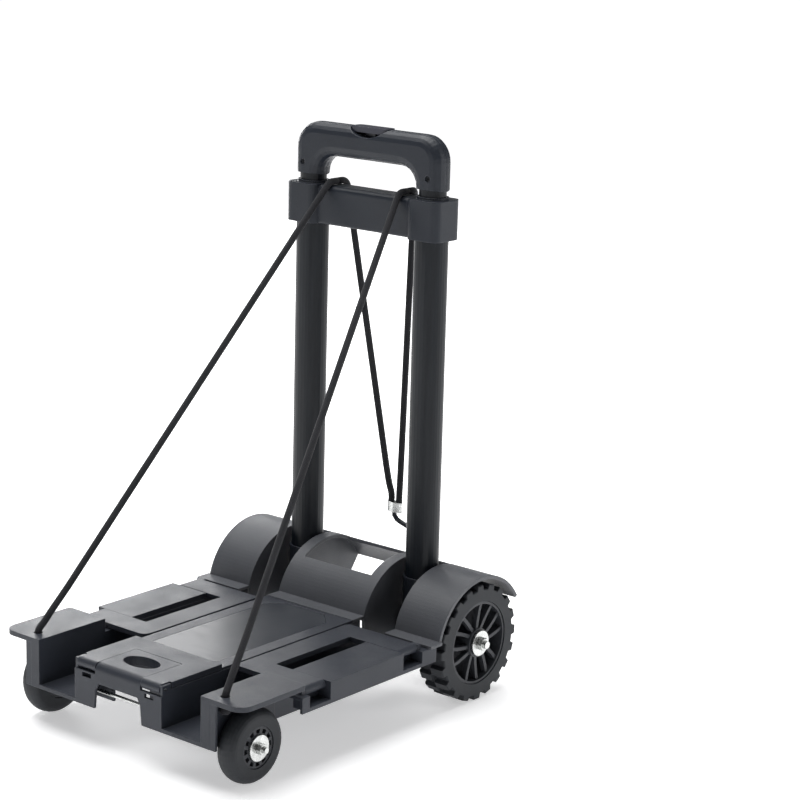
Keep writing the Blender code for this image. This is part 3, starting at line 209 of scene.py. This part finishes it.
def painted_tube(name):
    """Dark paint on metal, with orange peel and streaks along the tube."""
    g = Graph(name)
    peel = g.noise(900, 2, 0.5)
    streak = g.between(g.noise(30, 4, 0.6, (6.0, 6.0, 0.35)), 0.35, 0.65)
    shade = g.mix(streak, (0.004, 0.006, 0.0095), (0.007, 0.010, 0.0145))
    rough = g.between(g.noise(70, 4, 0.6, (3.0, 3.0, 0.3)), 0.3, 0.7, 0.30, 0.42)
    normal = g.bump(peel, PEEL_DEPTH, 0.5)
    return g.finish(shade, rough, normal,
                    Specular_IOR_Level=0.25, Coat_Weight=0.04, Coat_Roughness=0.25)


def rubber(name):
    """Matt rubber with grit, and dust in its clouds and along its edges."""
    colour, dust, roughness = (0.011, 0.0135, 0.0175), (0.036, 0.040, 0.047), 0.68
    g = Graph(name)
    soft = g.bevelled(0.7 * MM)
    grit = g.noise(1100, 3, 0.6)
    cloud = g.between(g.noise(45, 5, 0.65), 0.40, 0.75)
    shade = g.mix(g.math("MULTIPLY", cloud, 0.6), colour, dust)
    shade = g.mix(g.math("MULTIPLY", g.edge(soft), 0.45), shade, dust)
    normal = g.bump(grit, GRIT_DEPTH, 0.6, soft)
    return g.finish(shade, g.between(cloud, 0, 1, roughness - 0.06, roughness + 0.08), normal)


def zinc(name):
    """Brushed and plated steel."""
    g = Graph(name)
    soft = g.bevelled(0.35 * MM)
    cloud = g.between(g.noise(160, 4, 0.6), 0.35, 0.65)
    shade = g.mix(cloud, (0.55, 0.56, 0.55), (0.72, 0.73, 0.72))
    rough = g.between(g.noise(420, 3), 0.3, 0.7, 0.18, 0.34)
    brushed = g.noise(700, 2, 0.6, (0.3, 1.0, 1.0))
    return g.finish(shade, rough, g.bump(brushed, BRUSH_DEPTH, 0.4, soft), metallic=1.0)


def woven(name):
    """Braided cover of the elastic: two sets of strands that cross as they wind round it."""
    turns = 6.0
    g = Graph(name)
    split = g.node("ShaderNodeSeparateXYZ")
    g.feed(split.inputs[0], g.node("ShaderNodeUVMap", uv_map=BRAID_UV).outputs["UV"])
    along, round_it = split.outputs["X"], split.outputs["Y"]
    lines = []
    for sign in (1, -1):
        turn = g.math("ADD", g.math("MULTIPLY", along, turns),
                      g.math("MULTIPLY", round_it, turns * sign))
        wave = g.math("SINE", g.math("MULTIPLY", turn, 2 * math.pi))
        lines.append(g.math("ABSOLUTE", wave))
    weave = g.math("MAXIMUM", lines[0], lines[1])
    cross = g.math("MULTIPLY", lines[0], lines[1])
    fuzz = g.noise(2600, 2, 0.6)
    cloud = g.between(g.noise(50, 4), 0.35, 0.65)
    shade = g.mix(cloud, (0.009, 0.010, 0.013), (0.016, 0.0165, 0.020))
    shade = g.mix(g.between(cross, 0.25, 0.9, 0.0, 0.8), shade, (0.042, 0.042, 0.046))
    normal = g.bump(weave, WEAVE_DEPTH, 0.8)
    normal = g.bump(fuzz, FUZZ_DEPTH, 0.4, normal)
    return g.finish(shade, g.between(fuzz, 0.3, 0.7, 0.72, 0.9), normal,
                    Specular_IOR_Level=0.25, Sheen_Weight=0.08, Sheen_Roughness=0.5)


DECK = moulded("deck_moulding", (0.030, 0.034, 0.044), (0.11, 0.117, 0.135), 0.40)
SHELL = moulded("drum_moulding", (0.070, 0.074, 0.084), (0.20, 0.205, 0.22), 0.44, shine=0.45)
HANDLE = moulded("handle_moulding", (0.017, 0.0205, 0.028), (0.06, 0.066, 0.085), 0.36,
                 grain=0.06 * MM, grain_scale=1900, edge=1.2 * MM)
HUB = moulded("wheel_moulding", (0.036, 0.039, 0.045), (0.12, 0.12, 0.13), 0.42, edge=0.6 * MM)
TYRE = rubber("wheel_rubber")
PANEL = gloss_panel("deck_gloss")
TUBE = painted_tube("tube_paint")
BUTTON = moulded("button_gloss", (0.020, 0.022, 0.036), (0.08, 0.085, 0.12), 0.22,
                 grain=0.01 * MM, grain_scale=900, shine=0.5)
ZINC = zinc("zinc_plate")
CORD = woven("braided_elastic")

BY_SLOT = {
    "deck_plastic": DECK, "panel_gloss": PANEL, "tube_metal": TUBE,
    "handle_plastic": HANDLE, "button_plastic": BUTTON, "rim_plastic": HUB,
    "tyre_rubber": TYRE, "zinc": ZINC, "cord_fabric": CORD,
}
BY_NODE = {"drum_housing": SHELL}


def paint(obj, made):
    obj.data.materials.clear()
    obj.data.materials.append(made)


for part in frame["record"]["subparts"]:
    paint(frame["nodes"][part["node"]], BY_NODE.get(part["node"], BY_SLOT[part["material_slot"]]))


# ---------------------------------------------------------------- cords

def arc(centre, radius, start, end, count):
    """Points in a plane round centre, from start to end in degrees."""
    points = []
    for i in range(count + 1):
        angle = math.radians(start + (end - start) * i / count)
        points.append((centre[0] + radius * math.cos(angle), centre[1] + radius * math.sin(angle)))
    return points


def smooth_route(points, step):
    """Points spaced about step along a Catmull-Rom curve through points."""
    points = [Vector(p) for p in points]
    padded = [2 * points[0] - points[1], *points, 2 * points[-1] - points[-2]]
    route = [points[0]]
    for a, b, c, d in zip(padded, padded[1:], padded[2:], padded[3:]):
        pieces = max(1, round((c - b).length / step))
        for i in range(1, pieces + 1):
            t = i / pieces
            route.append(0.5 * ((2 * b) + (c - a) * t + (2 * a - 5 * b + 4 * c - d) * t * t
                                + (3 * b - a - 3 * c + d) * t ** 3))
    return route


def over_yoke(side):
    """The bends over the bar's front and rear edges. The right one drifts in to REAR_X behind."""
    front_steps, rear_steps = 8, 12
    bend = BAR_ROUND + CORD_R + BAR_GAP
    offset, height = BAR_HALF_DEPTH - BAR_ROUND, YOKE_TOP - BAR_ROUND
    x = side * YOKE_X
    drift = (REAR_X - YOKE_X) / rear_steps if side > 0 else 0
    ahead = arc((-offset, height), bend, 142, 90, front_steps)
    behind = arc((offset, height), bend, 90, 3, rear_steps)
    front = [Vector((x, AXLE_Y + y, z)) for y, z in ahead]
    rear = [Vector((x + drift * i, AXLE_Y + y, z)) for i, (y, z) in enumerate(behind)]
    return front, rear


def front_route(side):
    """Up through the corner plate's hole, straight to the yoke, and to the middle of its bar."""
    hole = Vector((side * HOLE_X, HOLE_Y, CORNER_TOP))
    front, _ = over_yoke(side)
    lean = (front[0] - hole).normalized()
    start = [hole - Vector((0, 0, 9 * MM)), hole - Vector((0, 0, 3 * MM)),
             hole + Vector((0, 0.8 * MM, 3 * MM))]
    start += [hole + lean * d * MM + Vector((0, 0, 1.5 * MM)) for d in (11, 22)]
    run = [hole.lerp(front[0], t) for t in (0.1, 0.3, 0.5, 0.7, 0.9)]
    end = Vector((front[-1].x, AXLE_Y, front[-1].z))
    return smooth_route(start, BEND_STEP) + smooth_route(run, RUN_STEP) + front + [end]


def rear_route(side):
    """From the middle of the yoke's bar, over its rear edge and down into the clamp."""
    _, rear = over_yoke(side)
    target = FERRULE + Vector((side * STRAND_X, 0, 0))
    run = [rear[-1].lerp(target, t) for t in (0.06, 0.3, 0.6, 0.9)]
    end = [target + Vector((0, 0, 9 * MM)), target + Vector((0, 0, 1 * MM))]
    return [Vector((rear[0].x, AXLE_Y, rear[0].z))] + rear + smooth_route(run + end, RUN_STEP)


def braid(name, route):
    """A tube along route, with UVs that repeat along it every BRAID_REPEAT and run once round it."""
    sides = CORD_SIDES
    verts, faces, corners = [], [], []
    across = Vector((1, 0, 0))
    travelled = [0.0]
    for a, b in zip(route, route[1:]):
        travelled.append(travelled[-1] + (b - a).length)
    for i, point in enumerate(route):
        ahead = (route[min(i + 1, len(route) - 1)] - route[max(i - 1, 0)]).normalized()
        across = (across - ahead * across.dot(ahead)).normalized()
        other = ahead.cross(across)
        for j in range(sides):
            angle = 2 * math.pi * j / sides
            verts.append(point + (across * math.cos(angle) + other * math.sin(angle)) * CORD_R)
    for i in range(len(route) - 1):
        for j in range(sides):
            k = (j + 1) % sides
            faces.append((i * sides + j, i * sides + k, (i + 1) * sides + k, (i + 1) * sides + j))
            low, high = travelled[i] / BRAID_REPEAT, travelled[i + 1] / BRAID_REPEAT
            here, after = j / sides, (j + 1) / sides
            corners += [(low, here), (low, after), (high, after), (high, here)]
    faces += [tuple(range(sides))[::-1], tuple((len(route) - 1) * sides + j for j in range(sides))]
    corners += [(0, 0)] * (2 * sides)
    mesh = bpy.data.meshes.new(name)
    mesh.from_pydata(verts, [], faces)
    layer = mesh.uv_layers.new(name=BRAID_UV)
    for slot, uv in zip(layer.data, corners):
        slot.uv = uv
    mesh.shade_smooth()
    obj = bpy.data.objects.new(name, mesh)
    bpy.context.scene.collection.objects.link(obj)
    paint(obj, CORD)
    return obj


for side, word in ((-1, "left"), (1, "right")):
    route = front_route(side)
    strand = braid(f"front_cord_{word}", route)
    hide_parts(f"cord_front_{word}")
    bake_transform(strand)
    route = rear_route(side)
    strand = braid(f"rear_cord_{word}", route)
    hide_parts(f"cord_rear_{word}")
    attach(strand, "mast")


# ---------------------------------------------------------------- stage, camera and light

FLOOR_HALF = 40
FLOOR_DROP = 0.3 * MM
GLOW_NEAR, GLOW_FAR = 0.25, 1.0            # distances from the middle, m
GLOW_IN_PAINTED_SHADE, GLOW_AT_FAR = 0.50, 1.0      # the floor's emission there; the weaker glow near the cart is painted shade round it
WORLD_STRENGTH = 0.13

AZIMUTH, ELEVATION, ROLL = (math.radians(degrees) for degrees in (39.26, 13.60, 1.53))
CAMERA_PLACE = (1.5459, AXLE_Y - 1.8362, 0.8764)
SENSOR_WIDTH, FOCAL_LENGTH = 36, 104.84    # mm

# Name, place, aim, sides in metres and power in watts.
SOFTBOXES = (
    ("overhead", (-0.5, 0.1, 2.4), (0, 0, 0.1), (2.4, 2.2), 78),
    ("back_left", (-2.62, 1.6, 0.85), (0, 0, 0.1), (1.5, 1.2), 35),
    ("right", (2.2, 1.4, 1.1), (0, 0.1, 0.2), (0.8, 1.8), 12),
)


def floor():
    """A pale ground that glows more away from the cart, so its far part reads as white; its weaker
    glow near the cart is painted shade round the cart.
    """
    mesh = bpy.data.meshes.new("floor")
    size = FLOOR_HALF
    square = [(-size, -size, 0), (size, -size, 0), (size, size, 0), (-size, size, 0)]
    mesh.from_pydata(square, [], [(0, 1, 2, 3)])
    obj = bpy.data.objects.new("floor", mesh)
    obj.location.z = -FLOOR_DROP
    bpy.context.scene.collection.objects.link(obj)
    g = Graph("floor_white")
    cloud = g.between(g.noise(2, 2), 0.3, 0.7)
    white = g.mix(cloud, (0.90, 0.90, 0.905), (0.92, 0.92, 0.925))
    g.feed(g.shader.inputs["Emission Color"], white)
    distance = g.node("ShaderNodeVectorMath", operation="LENGTH")
    g.feed(distance.inputs[0], g.place)
    # emission falls off towards the cart: painted shade on the floor round it
    glow = g.between(distance.outputs["Value"], GLOW_NEAR, GLOW_FAR, GLOW_IN_PAINTED_SHADE, GLOW_AT_FAR)
    g.feed(g.shader.inputs["Emission Strength"], glow)
    paint(obj, g.finish(white, 0.6, Specular_IOR_Level=0.1))


def camera():
    """Seen from ahead and to the right, with a small roll."""
    forward = Vector((-math.sin(AZIMUTH) * math.cos(ELEVATION),
                      math.cos(AZIMUTH) * math.cos(ELEVATION),
                      -math.sin(ELEVATION)))
    level = Vector((math.cos(AZIMUTH), math.sin(AZIMUTH), 0))
    upright = level.cross(forward)
    right = level * math.cos(ROLL) + upright * math.sin(ROLL)
    up = upright * math.cos(ROLL) - level * math.sin(ROLL)
    data = bpy.data.cameras.new("camera")
    data.sensor_width = SENSOR_WIDTH
    data.lens = FOCAL_LENGTH
    obj = bpy.data.objects.new("camera", data)
    bpy.context.scene.collection.objects.link(obj)
    turned = Matrix((right, up, -forward)).transposed().to_4x4()
    obj.matrix_world = Matrix.Translation(CAMERA_PLACE) @ turned
    bpy.context.scene.camera = obj


def softbox(name, place, aim, size, power):
    data = bpy.data.lights.new(name, "AREA")
    data.shape = "RECTANGLE"
    data.size, data.size_y = size
    data.energy = power
    obj = bpy.data.objects.new(name, data)
    obj.location = place
    obj.rotation_euler = (Vector(aim) - Vector(place)).to_track_quat("-Z", "Y").to_euler()
    bpy.context.scene.collection.objects.link(obj)


def surroundings():
    """Even white light all round, weak enough to leave the softboxes their work."""
    world = bpy.data.worlds.new("studio")
    world.use_nodes = True
    background = world.node_tree.nodes["Background"]
    background.inputs["Color"].default_value = (1, 1, 1, 1)
    background.inputs["Strength"].default_value = WORLD_STRENGTH
    bpy.context.scene.world = world


floor()
camera()
surroundings()
bpy.context.scene.view_settings.view_transform = "Standard"
for box in SOFTBOXES:
    softbox(*box)
